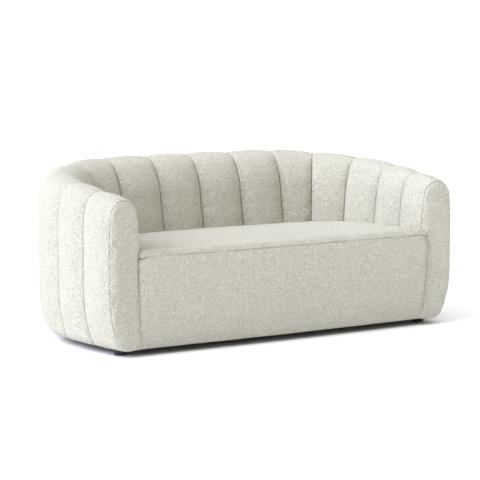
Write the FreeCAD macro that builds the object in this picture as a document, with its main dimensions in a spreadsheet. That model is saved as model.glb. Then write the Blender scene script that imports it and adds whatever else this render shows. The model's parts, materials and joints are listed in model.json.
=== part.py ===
import FreeCAD, Part
import math
import os

import Sketcher

from FreeCAD import Placement, Rotation, Vector

# A curved loveseat in boucle. One padded wall of channels runs round both arms and the back, and a fixed
# bench seat fills the space inside it. Millimetres, +Z up, +X to the sitter's left, the front faces -Y.
# The origin is on the floor under the middle of the sofa.

SIZES = [
    ("back_radius", 3680, "plan radius of the wall's centre line along the back"),
    ("back_angle", 6.5, "half angle of the back's arc, degrees"),
    ("corner_radius", 382, "plan radius of the tight part of a corner"),
    ("corner_angle", 49.7, "its angle, degrees"),
    ("side_radius", 513, "plan radius of the open part of a corner"),
    ("side_angle", 34.4, "its angle, degrees"),
    ("arm_radius", 2670, "plan radius of an arm"),
    ("arm_angle", 7, "its angle, degrees"),
    ("back_height", 700, "height of the seams on top of the back"),
    ("arm_drop", 91, "how far the top falls from the back to the end of an arm"),
    ("early_drop", 0.57, "share of that fall which is straight, the rest steepens to the front"),
    ("back_thickness", 199, "wall thickness at the top of the back, seam to seam"),
    ("arm_thickness", 140, "wall thickness at the end of an arm"),
    ("back_lean", 10.2, "lean of the back's inner face, degrees"),
    ("arm_lean", 1.8, "lean of the inner face at the end of an arm, degrees"),
    ("shoulder_rise", 151, "height over which the top of the wall rounds off"),
    ("base_rise", 213, "height over which the outer face curves in to the base"),
    ("base_inset", 75, "how far it curves in"),
    ("base_ease", 1.5, "length of the upper arc's tangent there, over the lower's"),
    ("channel_crown", 15, "how far a channel swells out between its seams"),
    ("crest_crown", 9, "how far it swells on top"),
    ("crown_power", 2.5, "fullness of that swell"),
    ("front_channel", 163, "width of the channel at the end of an arm"),
    ("second_channel", 180, "width of the next one"),
    ("equal_channels", 5, "channels of equal width from there to the middle of the back"),
    ("pad_thickness", 18, "thickness of a channel's padding at a seam"),
    ("tuck_depth", 60, "how far the inner face runs down behind the seat"),
    ("soft_gap", 0.4, "clearance round soft pieces"),
    ("seam_gap", 0.6, "clearance between two channels at their seam"),
    ("cap_depth", 16, "swell of the padded end of an arm"),
    ("cap_round", 20, "how far that end rounds in at its edge"),
    ("cap_corner", 14, "radius of its lower inner corner"),
    ("ply_thickness", 18, "thickness of the plywood in the frame"),
    ("lining_thickness", 3, "thickness of the fibreboard linings"),
    ("top_rail_depth", 34, "depth of the top rail under the seams"),
    ("back_rail_width", 80, "width of the top rail along the back"),
    ("arm_rail_width", 56, "width of the top rail at the end of an arm"),
    ("base_ring_width", 75, "width of the bottom ring"),
    ("seat_ledge", 45, "how far the seat ring stands out of the wall"),
    ("seat_notch", 40, "how far the seat ring enters the uprights"),
    ("toe_drop", 35, "height of the uprights' inner edge under the seat ring"),
    ("seat_height", 392, "height of the seat's edge at the wall"),
    ("seat_crown", 26, "rise of the seat's middle over its edge"),
    ("seat_round", 75, "length over which the seat rounds down to the front seam"),
    ("seam_drop", 5, "how far the seam along the seat's front lies under the seat's edge"),
    ("foam_thickness", 134, "thickness of the seat foam"),
    ("front_ahead", 22.4, "how far the front panel's face stands ahead of the arms' end seams, at its ends"),
    ("front_bow", 12, "how far the front panel bows out at its middle"),
    ("seam_set", 6, "how far the front seam lies behind the front panel's fullest line"),
    ("front_rake", 28, "how far the front panel's lower edge lies behind its fullest line"),
    ("front_bottom", 31, "height of the front panel's lower edge"),
    ("front_padding", 35, "thickness of the front panel's padding at its fullest line"),
    ("front_corner", 16, "radius of the front panel's upright edges"),
    ("front_board_thickness", 12, "thickness of the board behind that padding"),
    ("rail_thickness", 22, "thickness of the solid wood rails"),
    ("front_rail_height", 90, "height of the rail under the seat's front edge"),
    ("base_rail_height", 60, "height of the rail under the front panel"),
    ("post_width", 45, "width of the posts between those two rails"),
    ("post_count", 5, "number of those posts"),
    ("stretcher_height", 40, "height of the bottom stretchers"),
    ("stretcher_spread", 400, "distance of the outer stretchers from the middle one"),
    ("block_size", 70, "side of the square blocks over the feet"),
    ("block_height", 30, "height of those blocks"),
    ("web_width", 70, "width of the seat webbing"),
    ("web_thickness", 1.5, "thickness of the seat webbing"),
    ("web_pitch", 152, "pitch of the webbing that runs front to back"),
    ("cross_pitch", 142, "pitch of the webbing that runs side to side"),
    ("web_front_row", 130, "from the front rail to the first strap that runs side to side"),
    ("web_ease", 14, "length over which a strap climbs over or dips under another"),
    ("cloth_thickness", 1, "thickness of the deck cloth"),
    ("dust_thickness", 0.8, "thickness of the dust cover"),
    ("foot_height", 25.5, "height of a foot, and of the underside above the floor"),
    ("foot_top", 52, "diameter of a foot at its top"),
    ("foot_base", 45, "diameter of a foot at the floor"),
    ("foot_edge", 1.5, "chamfer round a foot's lower edge"),
    ("foot_margin", 8, "from the base's outer edge to a foot"),
    ("front_foot_back", 82, "from the end of an arm back to its foot, along the wall"),
    ("rear_foot_step", 32, "from an upright to the rear foot beside it, along the wall"),
    ("bolt_diameter", 8, "diameter of a foot's bolt"),
    ("bolt_depth", 14, "depth of the bolt in its foot"),
    ("bolt_fit", 0.2, "clearance round the bolt"),
    ("nut_flange", 22, "diameter of a tee nut's flange"),
    ("nut_flange_thickness", 1.6, "thickness of that flange"),
    ("nut_barrel", 10, "diameter of a tee nut's barrel"),
    ("nut_barrel_length", 9, "length of that barrel"),
    ("staple_width", 11, "width of a staple"),
    ("staple_wire", 0.9, "thickness of its wire"),
    ("dust_staple_pitch", 80, "pitch of the staples round the dust cover"),
]

doc = FreeCAD.newDocument("curved_loveseat")


def fill_sheet(name, rows):
    """A sheet with one row to a size: its alias, its value and what it is."""
    table = doc.addObject("Spreadsheet::Sheet", name)
    for number, (alias, value, note) in enumerate(rows, start=1):
        table.set("A%d" % number, alias)
        table.set("B%d" % number, repr(value))
        table.setAlias("B%d" % number, alias)
        table.set("C%d" % number, note)
    return table


sizes = fill_sheet("sizes", SIZES)
doc.recompute()
dim = {alias: float(sizes.get(alias)) for alias, value, note in SIZES}

# Everything soft is built from flat facets: chords to one arc of a profile, sections across one channel
ARC_COUNT = 4
SECTION_COUNT = 5
BOW_COUNT = 8
CROWN_COUNT = 6
SEAT_COUNT = 9

TINY = 1e-9
GAP = dim["soft_gap"]
PLY = dim["ply_thickness"]
UNDERSIDE = dim["foot_height"]
FLOOR_BOARD = UNDERSIDE + dim["dust_thickness"]
RING_TOP = FLOOR_BOARD + PLY


# The wall's plan: arcs on each side of the middle of the back

ARCS = [
    (dim["back_radius"], math.radians(dim["back_angle"])),
    (dim["corner_radius"], math.radians(dim["corner_angle"])),
    (dim["side_radius"], math.radians(dim["side_angle"])),
    (dim["arm_radius"], math.radians(dim["arm_angle"])),
]
BACK_LENGTH = ARCS[0][0] * ARCS[0][1]
WALL_LENGTH = sum(radius * angle for radius, angle in ARCS)

heading = 0.0
arm_reach = 0.0
for radius, angle in ARCS:
    arm_reach += radius * (math.cos(heading) - math.cos(heading + angle))
    heading += angle
front_reach = arm_reach + dim["front_ahead"]

equal_width = (WALL_LENGTH - dim["front_channel"] - dim["second_channel"]) / dim["equal_channels"]
HALF_SEAMS = [number * equal_width for number in range(int(dim["equal_channels"]) + 1)]
HALF_SEAMS += [WALL_LENGTH - dim["front_channel"], WALL_LENGTH]
SEAMS = [-place for place in reversed(HALF_SEAMS[1:])] + HALF_SEAMS

# The back's swell and the front panel's bow stand equally far from the origin
swell_radius = dim["back_radius"] + dim["back_thickness"] / 2 + dim["channel_crown"]
swell_turn = equal_width / 2 / dim["back_radius"]
behind_line = swell_radius * math.cos(swell_turn) - dim["back_radius"]
BACK_LINE = (front_reach + dim["front_bow"] - behind_line) / 2
FRONT_FACE = BACK_LINE - front_reach


def plan_frame(place):
    """Point of the centre line, outward and forward directions at a distance along the wall."""
    left = abs(place)
    turned = 0.0
    x, y = 0.0, BACK_LINE
    for number, (radius, angle) in enumerate(ARCS):
        last = number == len(ARCS) - 1
        turn = left / radius if last else min(left / radius, angle)
        centre_x = x - radius * math.sin(turned)
        centre_y = y - radius * math.cos(turned)
        turned += turn
        x = centre_x + radius * math.sin(turned)
        y = centre_y + radius * math.cos(turned)
        left -= turn * radius
        if left <= TINY and not last:
            break
    side = -1.0 if place < 0 else 1.0
    outward = Vector(side * math.sin(turned), math.cos(turned), 0)
    along = Vector(side * math.cos(turned), -math.sin(turned), 0)
    return Vector(side * x, y, 0), outward, along


def at(place, offset, height, ahead=0.0):
    """A point of space: distance along the wall, offset outward from its centre line, and height."""
    point, outward, along = plan_frame(place)
    return point + outward * offset + along * ahead + Vector(0, 0, height)


def wall(place):
    """Height, half thickness and inner slope of the wall at its seams, at a distance along it."""
    part = max(abs(place) - BACK_LENGTH, 0.0) / (WALL_LENGTH - BACK_LENGTH)
    drop = dim["arm_drop"] * (dim["early_drop"] * part + (1 - dim["early_drop"]) * part * part)
    thickness = dim["back_thickness"] + (dim["arm_thickness"] - dim["back_thickness"]) * part
    back_slope = math.tan(math.radians(dim["back_lean"]))
    arm_slope = math.tan(math.radians(dim["arm_lean"]))
    return dim["back_height"] - drop, thickness / 2, back_slope + (arm_slope - back_slope) * part


def rail_half(place):
    """Half the width of the top rail."""
    part = max(abs(place) - BACK_LENGTH, 0.0) / (WALL_LENGTH - BACK_LENGTH)
    return (dim["back_rail_width"] + (dim["arm_rail_width"] - dim["back_rail_width"]) * part) / 2


# Profiles across the wall, as (offset, height) pairs

def arc_middle(start, leaving, end):
    """Middle of the arc that leaves start along a direction and ends at end."""
    cx, cy = end[0] - start[0], end[1] - start[1]
    chord = math.hypot(cx, cy)
    cross = (cx * leaving[1] - cy * leaving[0]) / chord
    dot = (cx * leaving[0] + cy * leaving[1]) / chord
    sag = math.tan(math.atan2(cross, dot) / 2) / 2
    return (start[0] + cx / 2 - cy * sag, start[1] + cy / 2 + cx * sag)


def arc_points(start, leaving, end):
    """Points along the arc that leaves start along a direction and ends at end, without its start."""
    middle = arc_middle(start, leaving, end)
    arc = Part.Arc(Vector(*start, 0), Vector(*middle, 0), Vector(*end, 0))
    return [(point.x, point.y) for point in arc.discretize(Number=ARC_COUNT + 1)[1:]]


def two_arcs(start, leaving, end, arriving, ratio=1.0):
    """Points along two tangent arcs between two points with given directions, without the start."""
    vx, vy = end[0] - start[0], end[1] - start[1]
    tx, ty = leaving[0] + ratio * arriving[0], leaving[1] + ratio * arriving[1]
    square = (1 + ratio) ** 2 - tx * tx - ty * ty
    linear = vx * tx + vy * ty
    first = (-linear + math.sqrt(linear ** 2 + square * (vx * vx + vy * vy))) / square
    near = (start[0] + first * leaving[0], start[1] + first * leaving[1])
    far = (end[0] - ratio * first * arriving[0], end[1] - ratio * first * arriving[1])
    share = 1 / (1 + ratio)
    joint = (near[0] + (far[0] - near[0]) * share, near[1] + (far[1] - near[1]) * share)
    tangent = (far[0] - near[0], far[1] - near[1])
    length = math.hypot(*tangent)
    tangent = (tangent[0] / length, tangent[1] / length)
    return arc_points(start, leaving, joint) + arc_points(joint, tangent, end)


def outer_profile(place, swell=0.0, crest=0.0, shrink=0.0):
    """Points of the wall's skin, from its outer lower edge over the top to its straight inner face."""
    height, half, slope = wall(place)
    half += swell - shrink
    height += crest - shrink
    rise = dim["shoulder_rise"]
    low = (half - dim["base_inset"], UNDERSIDE + shrink)
    flank = (half, UNDERSIDE + dim["base_rise"])
    shoulder = (half, height - rise)
    crown = (0.0, height)
    lean = math.hypot(slope, 1.0)
    down = (-slope / lean, -1.0 / lean)
    inner = (-half - slope * rise, height - rise)
    points = [low] + two_arcs(low, (1.0, 0.0), flank, (0.0, 1.0), dim["base_ease"]) + [shoulder]
    points += two_arcs(shoulder, (0.0, 1.0), crown, (-1.0, 0.0))
    return points + two_arcs(crown, (-1.0, 0.0), inner, down)


def inner_offset(place, height, swell=0.0):
    """Offset of the wall's inner face at a height; it is negative, towards the seat."""
    top, half, slope = wall(place)
    return -(half + swell) - slope * (top - height)


TUCK = dim["seat_height"] - dim["tuck_depth"]
FRONT_SEAM = dim["seat_height"] - dim["seam_drop"]


def padding_back(place, bottom=TUCK):
    """Points of the padding's hidden side, from the outer lower edge over the top to its inner end."""
    height, half, slope = wall(place)
    toe = half - dim["base_inset"]
    half -= dim["pad_thickness"]
    rise = dim["shoulder_rise"]
    rail = rail_half(place)
    return [
        (toe, UNDERSIDE + dim["pad_thickness"]),
        (half, UNDERSIDE + dim["base_rise"]),
        (half, height - rise),
        (rail, height - dim["top_rail_depth"]),
        (-rail, height - dim["top_rail_depth"]),
        (-half - slope * rise, height - rise),
        (-half - slope * (height - bottom), bottom),
    ]


def inset(points, amount):
    """The same open line moved to its left-hand side by an amount, with mitred corners."""
    moved = []
    for number in range(len(points)):
        sides = []
        if number > 0:
            sides.append((points[number - 1], points[number]))
        if number < len(points) - 1:
            sides.append((points[number], points[number + 1]))
        normals = []
        for first, second in sides:
            dx, dy = second[0] - first[0], second[1] - first[1]
            length = math.hypot(dx, dy)
            normals.append((-dy / length, dx / length))
        nx = sum(normal[0] for normal in normals)
        ny = sum(normal[1] for normal in normals)
        scale = amount * len(normals) / (nx * nx + ny * ny)
        moved.append((points[number][0] + nx * scale, points[number][1] + ny * scale))
    return moved


def across(place, points, ahead=0.0):
    """Points of space for (offset, height) pairs across the wall."""
    return [at(place, offset, height, ahead) for offset, height in points]


def between(low, high, count):
    """Evenly spaced values from low to high."""
    return [low + (high - low) * number / (count - 1) for number in range(count)]


def pad_places(low, high):
    """The distances along the wall where a channel between two seams has its sections."""
    return between(low + dim["seam_gap"] / 2, high - dim["seam_gap"] / 2, SECTION_COUNT)


def stations(low, high):
    """The channels' sections from low to high along the wall, one to a seam, and the two ends."""
    marks = [SEAMS[0]]
    for near, far in zip(SEAMS, SEAMS[1:]):
        marks += pad_places(near, far)[1:-1] + [far]
    return [low] + [mark for mark in marks if low + 1 < mark < high - 1] + [high]


# Solids with flat sides

def flat(corners):
    """A flat face with the given corners."""
    return Part.Face(Part.makePolygon(list(corners) + [corners[0]]))


def faceted(sections):
    """A solid through sections that have equally many points, with two triangles to each side of a strip."""
    faces = [flat(sections[0]), flat(sections[-1])]
    for near, far in zip(sections, sections[1:]):
        for number in range(len(near)):
            after = (number + 1) % len(near)
            faces.append(flat((near[number], near[after], far[after])))
            faces.append(flat((near[number], far[after], far[number])))
    solid = Part.makeSolid(Part.makeShell(faces))
    if solid.Volume < 0:
        solid.reverse()
    return solid


# Making the objects of the document

def finished(label, shape):
    """An object that holds a shape worked out from the sheet."""
    piece = doc.addObject("Part::Feature", label)
    piece.Label = label
    piece.Shape = shape
    piece.Placement = Placement()
    subparts.append(piece)
    return piece


def bound(piece, links):
    """Bind properties of an object to formulas on the sheets."""
    for prop, formula in links.items():
        piece.setExpression(prop, formula)


def rail_box(label, length, width, height, corner):
    """A straight piece of wood: its three sizes and its lower left front corner, all as formulas."""
    piece = doc.addObject("Part::Box", label)
    piece.Label = label
    bound(piece, {"Length": length, "Width": width, "Height": height})
    bound(piece, {"Placement.Base." + axis: formula for axis, formula in zip("xyz", corner)})
    subparts.append(piece)
    return piece


subparts = []


# Channels: fourteen pads sewn side by side, each wrapped over the wall

def fullness(place):
    """How far the channel at a place swells, from 0 at its seams to 1 halfway between them."""
    for low, high in zip(SEAMS, SEAMS[1:]):
        if low <= place <= high:
            across = abs(2 * (place - low) / (high - low) - 1)
            return 1 - across ** dim["crown_power"]
    return 0.0


def skin_offset(place, height):
    """Offset of the channels' inner skin at a height."""
    full = fullness(place)
    swell = dim["channel_crown"] * full + wall(place)[2] * dim["crest_crown"] * full
    return inner_offset(place, height, swell)


def channel_pad(low, high):
    """A pad between two seams, crowned between them and at its fullest halfway."""
    sections = []
    for place in pad_places(low, high):
        full = fullness(place)
        outline = outer_profile(place, dim["channel_crown"] * full, dim["crest_crown"] * full)
        outline += [(skin_offset(place, height), height) for height in (FRONT_SEAM, TUCK)]
        sections.append(across(place, outline + list(reversed(padding_back(place)))))
    return faceted(sections)


for number, (low, high) in enumerate(zip(SEAMS, SEAMS[1:]), start=1):
    finished("channel_%02d" % number, channel_pad(low, high))


# Arm ends: a padded cap over a plywood board

def cap_section(place, ahead, shrink):
    """Outline of an arm's padded end, shrunk by an amount, at a distance in front of its seam."""
    slope = wall(place)[2]
    corner = dim["cap_corner"]
    low = UNDERSIDE + shrink
    lean = math.hypot(slope, 1.0)
    edge = inner_offset(place, low) + shrink
    above = (edge + slope * corner, low + corner)
    aside = (edge + corner, low)
    rounded = arc_points(above, (-slope / lean, -1.0 / lean), aside)
    return across(place, outer_profile(place, shrink=shrink) + [above] + rounded, ahead)


def arm_cap(place):
    """The padded end: full at the seam, rounded in towards its face."""
    sections = []
    for turn in between(0.0, math.pi / 2, ARC_COUNT):
        ahead = dim["cap_depth"] * math.sin(turn)
        shrink = dim["cap_round"] * (1 - math.cos(turn))
        sections.append(cap_section(place, ahead, shrink))
    return faceted(sections)


def prism(place, points, thickness, ahead):
    """A flat plate across the wall; its rear face lies ahead of a distance along it."""
    return flat(across(place, points, ahead)).extrude(plan_frame(place)[2] * thickness)


ARM_INNER_EDGE = inner_offset(WALL_LENGTH, TUCK)


def arm_board(place):
    """The plywood board behind a cap, inside the padding above the seat and wider below it."""
    outline = inset(padding_back(place), GAP)
    outline[0] = (outline[0][0], RING_TOP)
    outline[-1] = (outline[-1][0], TUCK - GAP)
    base = wall(place)[1] - dim["base_inset"] - GAP
    below_tuck = [(ARM_INNER_EDGE, TUCK - GAP), (ARM_INNER_EDGE, FLOOR_BOARD)]
    return prism(place, [(base, FLOOR_BOARD)] + outline + below_tuck, PLY, -PLY)


for side, place in (("right", -WALL_LENGTH), ("left", WALL_LENGTH)):
    finished("arm_cap_" + side, arm_cap(place))
    finished("arm_front_board_" + side, arm_board(place))

# Levels and front faces that several pieces share

FOAM_TOP = FRONT_SEAM - GAP
FOAM_BOTTOM = FOAM_TOP - dim["foam_thickness"]
CLOTH_BOTTOM = FOAM_BOTTOM - GAP - dim["cloth_thickness"]
SEAT_RING_TOP = CLOTH_BOTTOM - 2 * (dim["web_thickness"] + GAP)
SEAT_RING_BOTTOM = SEAT_RING_TOP - PLY
BOARD_FRONT = FRONT_FACE + dim["front_padding"]
BOARD_BACK = BOARD_FRONT + dim["front_board_thickness"]
RAIL_BACK = BOARD_BACK + dim["rail_thickness"]
BOARD_END = WALL_LENGTH - PLY - 2 * GAP
ARM_BOARD_BACK = at(WALL_LENGTH, ARM_INNER_EDGE, 0, -PLY).y


def base_edge(place):
    """Offset of the bottom ring's outer edge."""
    return wall(place)[1] - dim["base_inset"] - GAP


def base_inner_edge(place):
    """Offset of the bottom ring's inner edge."""
    return base_edge(place) - dim["base_ring_width"]


def lining_face(place):
    """Offset of the inner lining's front face where it stands on the seat ring."""
    return inner_offset(place, SEAT_RING_TOP) + dim["pad_thickness"]


def ledge_edge(place):
    """Offset of the seat ring's inner edge."""
    return lining_face(place) - dim["seat_ledge"]


def notch_edge(place):
    """Offset of the seat ring's outer edge."""
    return lining_face(place) + dim["seat_notch"]


# Lines that follow the wall on the flat

def along_wall(offset, height, places):
    """Points that stand off the centre line by offset(place)."""
    return [at(place, offset(place), height) for place in places]


def band(outer, inner, bottom, thickness, low, high):
    """A flat strip along the wall between two offsets."""
    places = stations(low, high)
    outside = along_wall(outer, bottom, places)
    inside = along_wall(inner, bottom, places)
    return flat(outside + inside[::-1]).extrude(Vector(0, 0, thickness))


def behind(shape, front):
    """The part of a shape that lies behind a y."""
    box = shape.BoundBox
    corner = Vector(box.XMin - PLY, front, box.ZMin - PLY)
    return shape.common(Part.makeBox(box.XLength + 2 * PLY, box.YLength + PLY, box.ZLength + 2 * PLY, corner))


def plate_inside(offset, bottom, thickness, front):
    """A flat sheet inside a line round the wall, cut off straight at the front."""
    edge = along_wall(offset, bottom, stations(-WALL_LENGTH, WALL_LENGTH))
    return behind(flat(edge).extrude(Vector(0, 0, thickness)), front)


SEARCH_COUNT = 60


def solve(function, low, high):
    """The value between low and high where a rising function is zero."""
    for step in range(SEARCH_COUNT):
        middle = (low + high) / 2
        if function(middle) > 0:
            high = middle
        else:
            low = middle
    return (low + high) / 2


def curve_y(x, offset):
    """Y of a curve round the wall at an x, between the middle of the back and the arms."""
    arm_start = HALF_SEAMS[int(dim["equal_channels"])]
    place = solve(lambda spot: at(spot, offset(spot), 0).x - abs(x), 0.0, arm_start)
    return at(place, offset(place), 0).y


def curve_x(y, offset):
    """Half the distance across a curve round the wall at a y."""
    place = solve(lambda spot: y - at(spot, offset(spot), 0).y, 0.0, WALL_LENGTH)
    return at(place, offset(place), 0).x


# The frame: rings, top rail and uprights

REAR_SEAM_NUMBER = 3


def split_places(end):
    """Where the rings and the rail are cut into a right, a back and a left piece."""
    joint = (HALF_SEAMS[REAR_SEAM_NUMBER] + HALF_SEAMS[REAR_SEAM_NUMBER + 1]) / 2
    return [("right", -end, -joint), ("back", -joint, joint), ("left", joint, end)], joint


RING_PARTS, JOINT = split_places(BOARD_END)


def foot_places():
    """Distance along the wall and offset of each foot."""
    front = WALL_LENGTH - dim["front_foot_back"]
    rear = HALF_SEAMS[REAR_SEAM_NUMBER] + dim["rear_foot_step"]
    reach = dim["foot_margin"] + dim["foot_top"] / 2
    return [(place, base_edge(place) - reach) for place in (-front, front, -rear, rear)]


NUT_HOLE = dim["nut_barrel"] / 2 + dim["bolt_fit"]


def with_foot_holes(shape):
    """The shape with a hole for the tee nut over each foot."""
    for place, offset in foot_places():
        centre = at(place, offset, UNDERSIDE - PLY)
        shape = shape.cut(Part.makeCylinder(NUT_HOLE, 3 * PLY, centre))
    return shape


def rail_top(place):
    """Height of the top rail's upper face."""
    return wall(place)[0] - dim["top_rail_depth"] - GAP


def top_rail_edge(place):
    """Half the width of the top rail between the linings."""
    return inset(padding_back(place), 2 * GAP + dim["lining_thickness"])[3][0] - GAP


def bar_section(place, half, top, thickness):
    """An upright rectangle across the wall."""
    return across(place, [(-half, top - thickness), (-half, top), (half, top), (half, top - thickness)])


for side, low, high in RING_PARTS:
    base_part = band(base_edge, base_inner_edge, FLOOR_BOARD, PLY, low, high)
    finished("base_ring_" + side, with_foot_holes(base_part))
    finished("seat_ring_" + side, band(notch_edge, ledge_edge, SEAT_RING_BOTTOM, PLY, low, high))
    places = stations(low, high)
    sections = [bar_section(place, top_rail_edge(place), rail_top(place), PLY) for place in places]
    finished("top_rail_" + side, faceted(sections))


def joint_plate_set():
    """Plates that join the ring and rail pieces, on top of the bottom ring and under the other two."""
    plates = []
    reach = equal_width / 4
    thickness = dim["front_board_thickness"]
    margin = dim["foot_margin"]
    for place in (-JOINT, JOINT):
        low, high = place - reach, place + reach
        plates.append(band(
            lambda spot: base_edge(spot) - margin,
            lambda spot: base_inner_edge(spot) + margin,
            RING_TOP, thickness, low, high,
        ))
        plates.append(band(
            lambda spot: notch_edge(spot) - margin,
            lambda spot: ledge_edge(spot) + margin,
            SEAT_RING_BOTTOM - thickness, thickness, low, high,
        ))
        sections = []
        for spot in stations(low, high):
            under_rail = rail_top(spot) - PLY - GAP
            sections.append(bar_section(spot, top_rail_edge(spot) - GAP, under_rail, thickness))
        plates.append(faceted(sections))
    return Part.makeCompound(plates)


finished("joint_plates", joint_plate_set())


def point_at_height(first, second, height):
    """The point of a line where it has a height."""
    share = (height - first[1]) / (second[1] - first[1])
    return (first[0] + (second[0] - first[0]) * share, height)


def upright(place):
    """A plywood former on the bottom ring, under the top rail and notched for the seat ring."""
    line = inset(padding_back(place, SEAT_RING_TOP), 4 * GAP + dim["lining_thickness"])
    toe, flank, shoulder, outer_crest, inner_crest, inner_shoulder, inner_low = line
    head = rail_top(abs(place) + PLY / 2) - PLY - GAP
    notch_top = SEAT_RING_TOP + GAP
    lip = point_at_height(inner_shoulder, inner_low, notch_top)
    depth = notch_edge(place) + 3 * GAP
    heel = base_inner_edge(place)
    return prism(place, [
        point_at_height(toe, flank, RING_TOP), flank, shoulder,
        point_at_height(shoulder, outer_crest, head), point_at_height(inner_shoulder, inner_crest, head),
        inner_shoulder, lip, (depth, notch_top), (depth, SEAT_RING_BOTTOM), (lip[0], SEAT_RING_BOTTOM),
        (lip[0], SEAT_RING_BOTTOM - dim["toe_drop"]),
        (heel, FLOOR_BOARD + dim["stretcher_height"]), (heel, RING_TOP),
    ], PLY, -PLY / 2)


for side, low, high in RING_PARTS:
    finished("uprights_" + side, Part.makeCompound([upright(seam) for seam in SEAMS if low < seam < high]))


# Linings: fibreboard bent round the uprights under the padding

def lining_face_line(place, depth):
    """A lining's face: the padding's hidden side moved in by a depth, with its ends on the two rings."""
    line = inset(padding_back(place), depth)
    foot = inset(padding_back(place, SEAT_RING_TOP), depth)[-1]
    line[0] = (line[0][0], RING_TOP)
    return line + [(foot[0], SEAT_RING_TOP)]


def lining(first, last):
    """A bent board over some of the padding's hidden faces."""
    sections = []
    for place in stations(-BOARD_END, BOARD_END):
        near = lining_face_line(place, GAP)[first:last]
        far = lining_face_line(place, GAP + dim["lining_thickness"])[first:last]
        sections.append(across(place, far + near[::-1]))
    return faceted(sections)


OUTER_POINTS = 4
finished("outer_lining", lining(0, OUTER_POINTS))
finished("inner_lining", lining(OUTER_POINTS, 2 * OUTER_POINTS))


# The front: board, rails, posts, stretchers and glue blocks

def stretcher_reach(x):
    """Length of a stretcher at an x, from the base rail to the bottom ring."""
    return curve_y(x + dim["rail_thickness"] / 2, base_inner_edge) - RAIL_BACK - GAP


worked = fill_sheet("worked_out", [
    ("board_front", BOARD_FRONT, "y of the front board's face"),
    ("board_back", BOARD_BACK, "y of its back and of the rails' faces"),
    ("rail_back", RAIL_BACK, "y of the rails' backs"),
    ("floor_board", FLOOR_BOARD, "height of the bottom ring's underside"),
    ("seat_ring_top", SEAT_RING_TOP, "height of the seat ring's upper face"),
    ("board_half", curve_x(BOARD_BACK, lambda spot: skin_offset(spot, TUCK)) - GAP, "half the upper width"),
    ("board_half_low", at(WALL_LENGTH, ARM_INNER_EDGE, 0).x - GAP, "half the width below the tuck"),
    ("tuck", TUCK, "height where the padding ends behind the seat"),
    ("front_rail_half", curve_x(BOARD_BACK, ledge_edge) - GAP, "half the seat rail's length"),
    ("base_rail_half", curve_x(BOARD_BACK, base_inner_edge) - GAP, "half the base rail's length"),
    ("foam_top", FOAM_TOP, "height of the front board's upper edge"),
    ("stretcher_middle", stretcher_reach(0.0), "length of the middle stretcher"),
    ("stretcher_outer", stretcher_reach(dim["stretcher_spread"]), "length of the outer stretchers"),
])
doc.recompute()


def number_of(formula):
    """The value of a formula on the sheets."""
    return float(sizes.evalExpression(formula))


def outline_sketch(body, role, corners):
    """A closed sketch on one of a body's planes; each corner is a pair of formulas that fix it."""
    plane = [item for item in body.Origin.OriginFeatures if item.Role == role][0]
    sketch = body.newObject("Sketcher::SketchObject", body.Name + "_outline")
    sketch.AttachmentSupport = (plane, [""])
    sketch.MapMode = "FlatFace"
    values = [(number_of(first), number_of(second)) for first, second in corners]
    count = len(corners)
    for number in range(count):
        start, end = values[number], values[(number + 1) % count]
        sketch.addGeometry(Part.LineSegment(Vector(*start, 0), Vector(*end, 0)), False)
    for number in range(count):
        sketch.addConstraint(Sketcher.Constraint("Coincident", number, 2, (number + 1) % count, 1))
    for number in range(count):
        for kind, value, formula in zip(("DistanceX", "DistanceY"), values[number], corners[number]):
            index = sketch.addConstraint(Sketcher.Constraint(kind, -1, 1, number, 1, value))
            sketch.setExpression("Constraints[%d]" % index, formula)
    return sketch


def new_body(label):
    """An empty body that becomes a sub-part."""
    body = doc.addObject("PartDesign::Body", label)
    body.Label = label
    subparts.append(body)
    return body


def turned(label, corners):
    """A round body: an outline of (radius, height) formulas turned about the upright axis."""
    body = doc.addObject("PartDesign::Body", label)
    sketch = outline_sketch(body, "XZ_Plane", corners)
    spin = body.newObject("PartDesign::Revolution", body.Name + "_turning")
    spin.Profile = sketch
    spin.ReferenceAxis = (sketch, ["V_Axis"])
    spin.Angle = 360
    return body


def front_board():
    """The board behind the front panel's padding: wider below the arms' padding than above."""
    body = new_body("front_board")
    wide, narrow = "worked_out.board_half_low", "worked_out.board_half"
    low, step, high = "sizes.front_bottom", "worked_out.tuck - sizes.soft_gap", "worked_out.foam_top"
    sketch = outline_sketch(body, "XZ_Plane", [
        ("-" + wide, low), (wide, low), (wide, step), (narrow, step),
        (narrow, high), ("-" + narrow, high), ("-" + narrow, step), ("-" + wide, step),
    ])
    pad = body.newObject("PartDesign::Pad", "front_board_pad")
    pad.Profile = sketch
    pad.setExpression("Length", "sizes.front_board_thickness")
    bound(body, {"Placement.Base.y": "worked_out.board_back"})


front_board()
rail_bottom = "worked_out.seat_ring_top - sizes.front_rail_height"
rail_box(
    "front_rail", "2 * worked_out.front_rail_half", "sizes.rail_thickness", "sizes.front_rail_height",
    ("-worked_out.front_rail_half", "worked_out.board_back", rail_bottom),
)
rail_box(
    "base_front_rail", "2 * worked_out.base_rail_half", "sizes.rail_thickness", "sizes.base_rail_height",
    ("-worked_out.base_rail_half", "worked_out.board_back", "worked_out.floor_board"),
)
STRETCHERS = [
    ("right", "-sizes.stretcher_spread", "worked_out.stretcher_outer"),
    ("middle", "0", "worked_out.stretcher_middle"),
    ("left", "sizes.stretcher_spread", "worked_out.stretcher_outer"),
]
for side, middle, reach in STRETCHERS:
    rail_box(
        "stretcher_" + side, "sizes.rail_thickness", reach, "sizes.stretcher_height",
        (middle + " - sizes.rail_thickness / 2", "worked_out.rail_back", "worked_out.floor_board"),
    )


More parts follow.
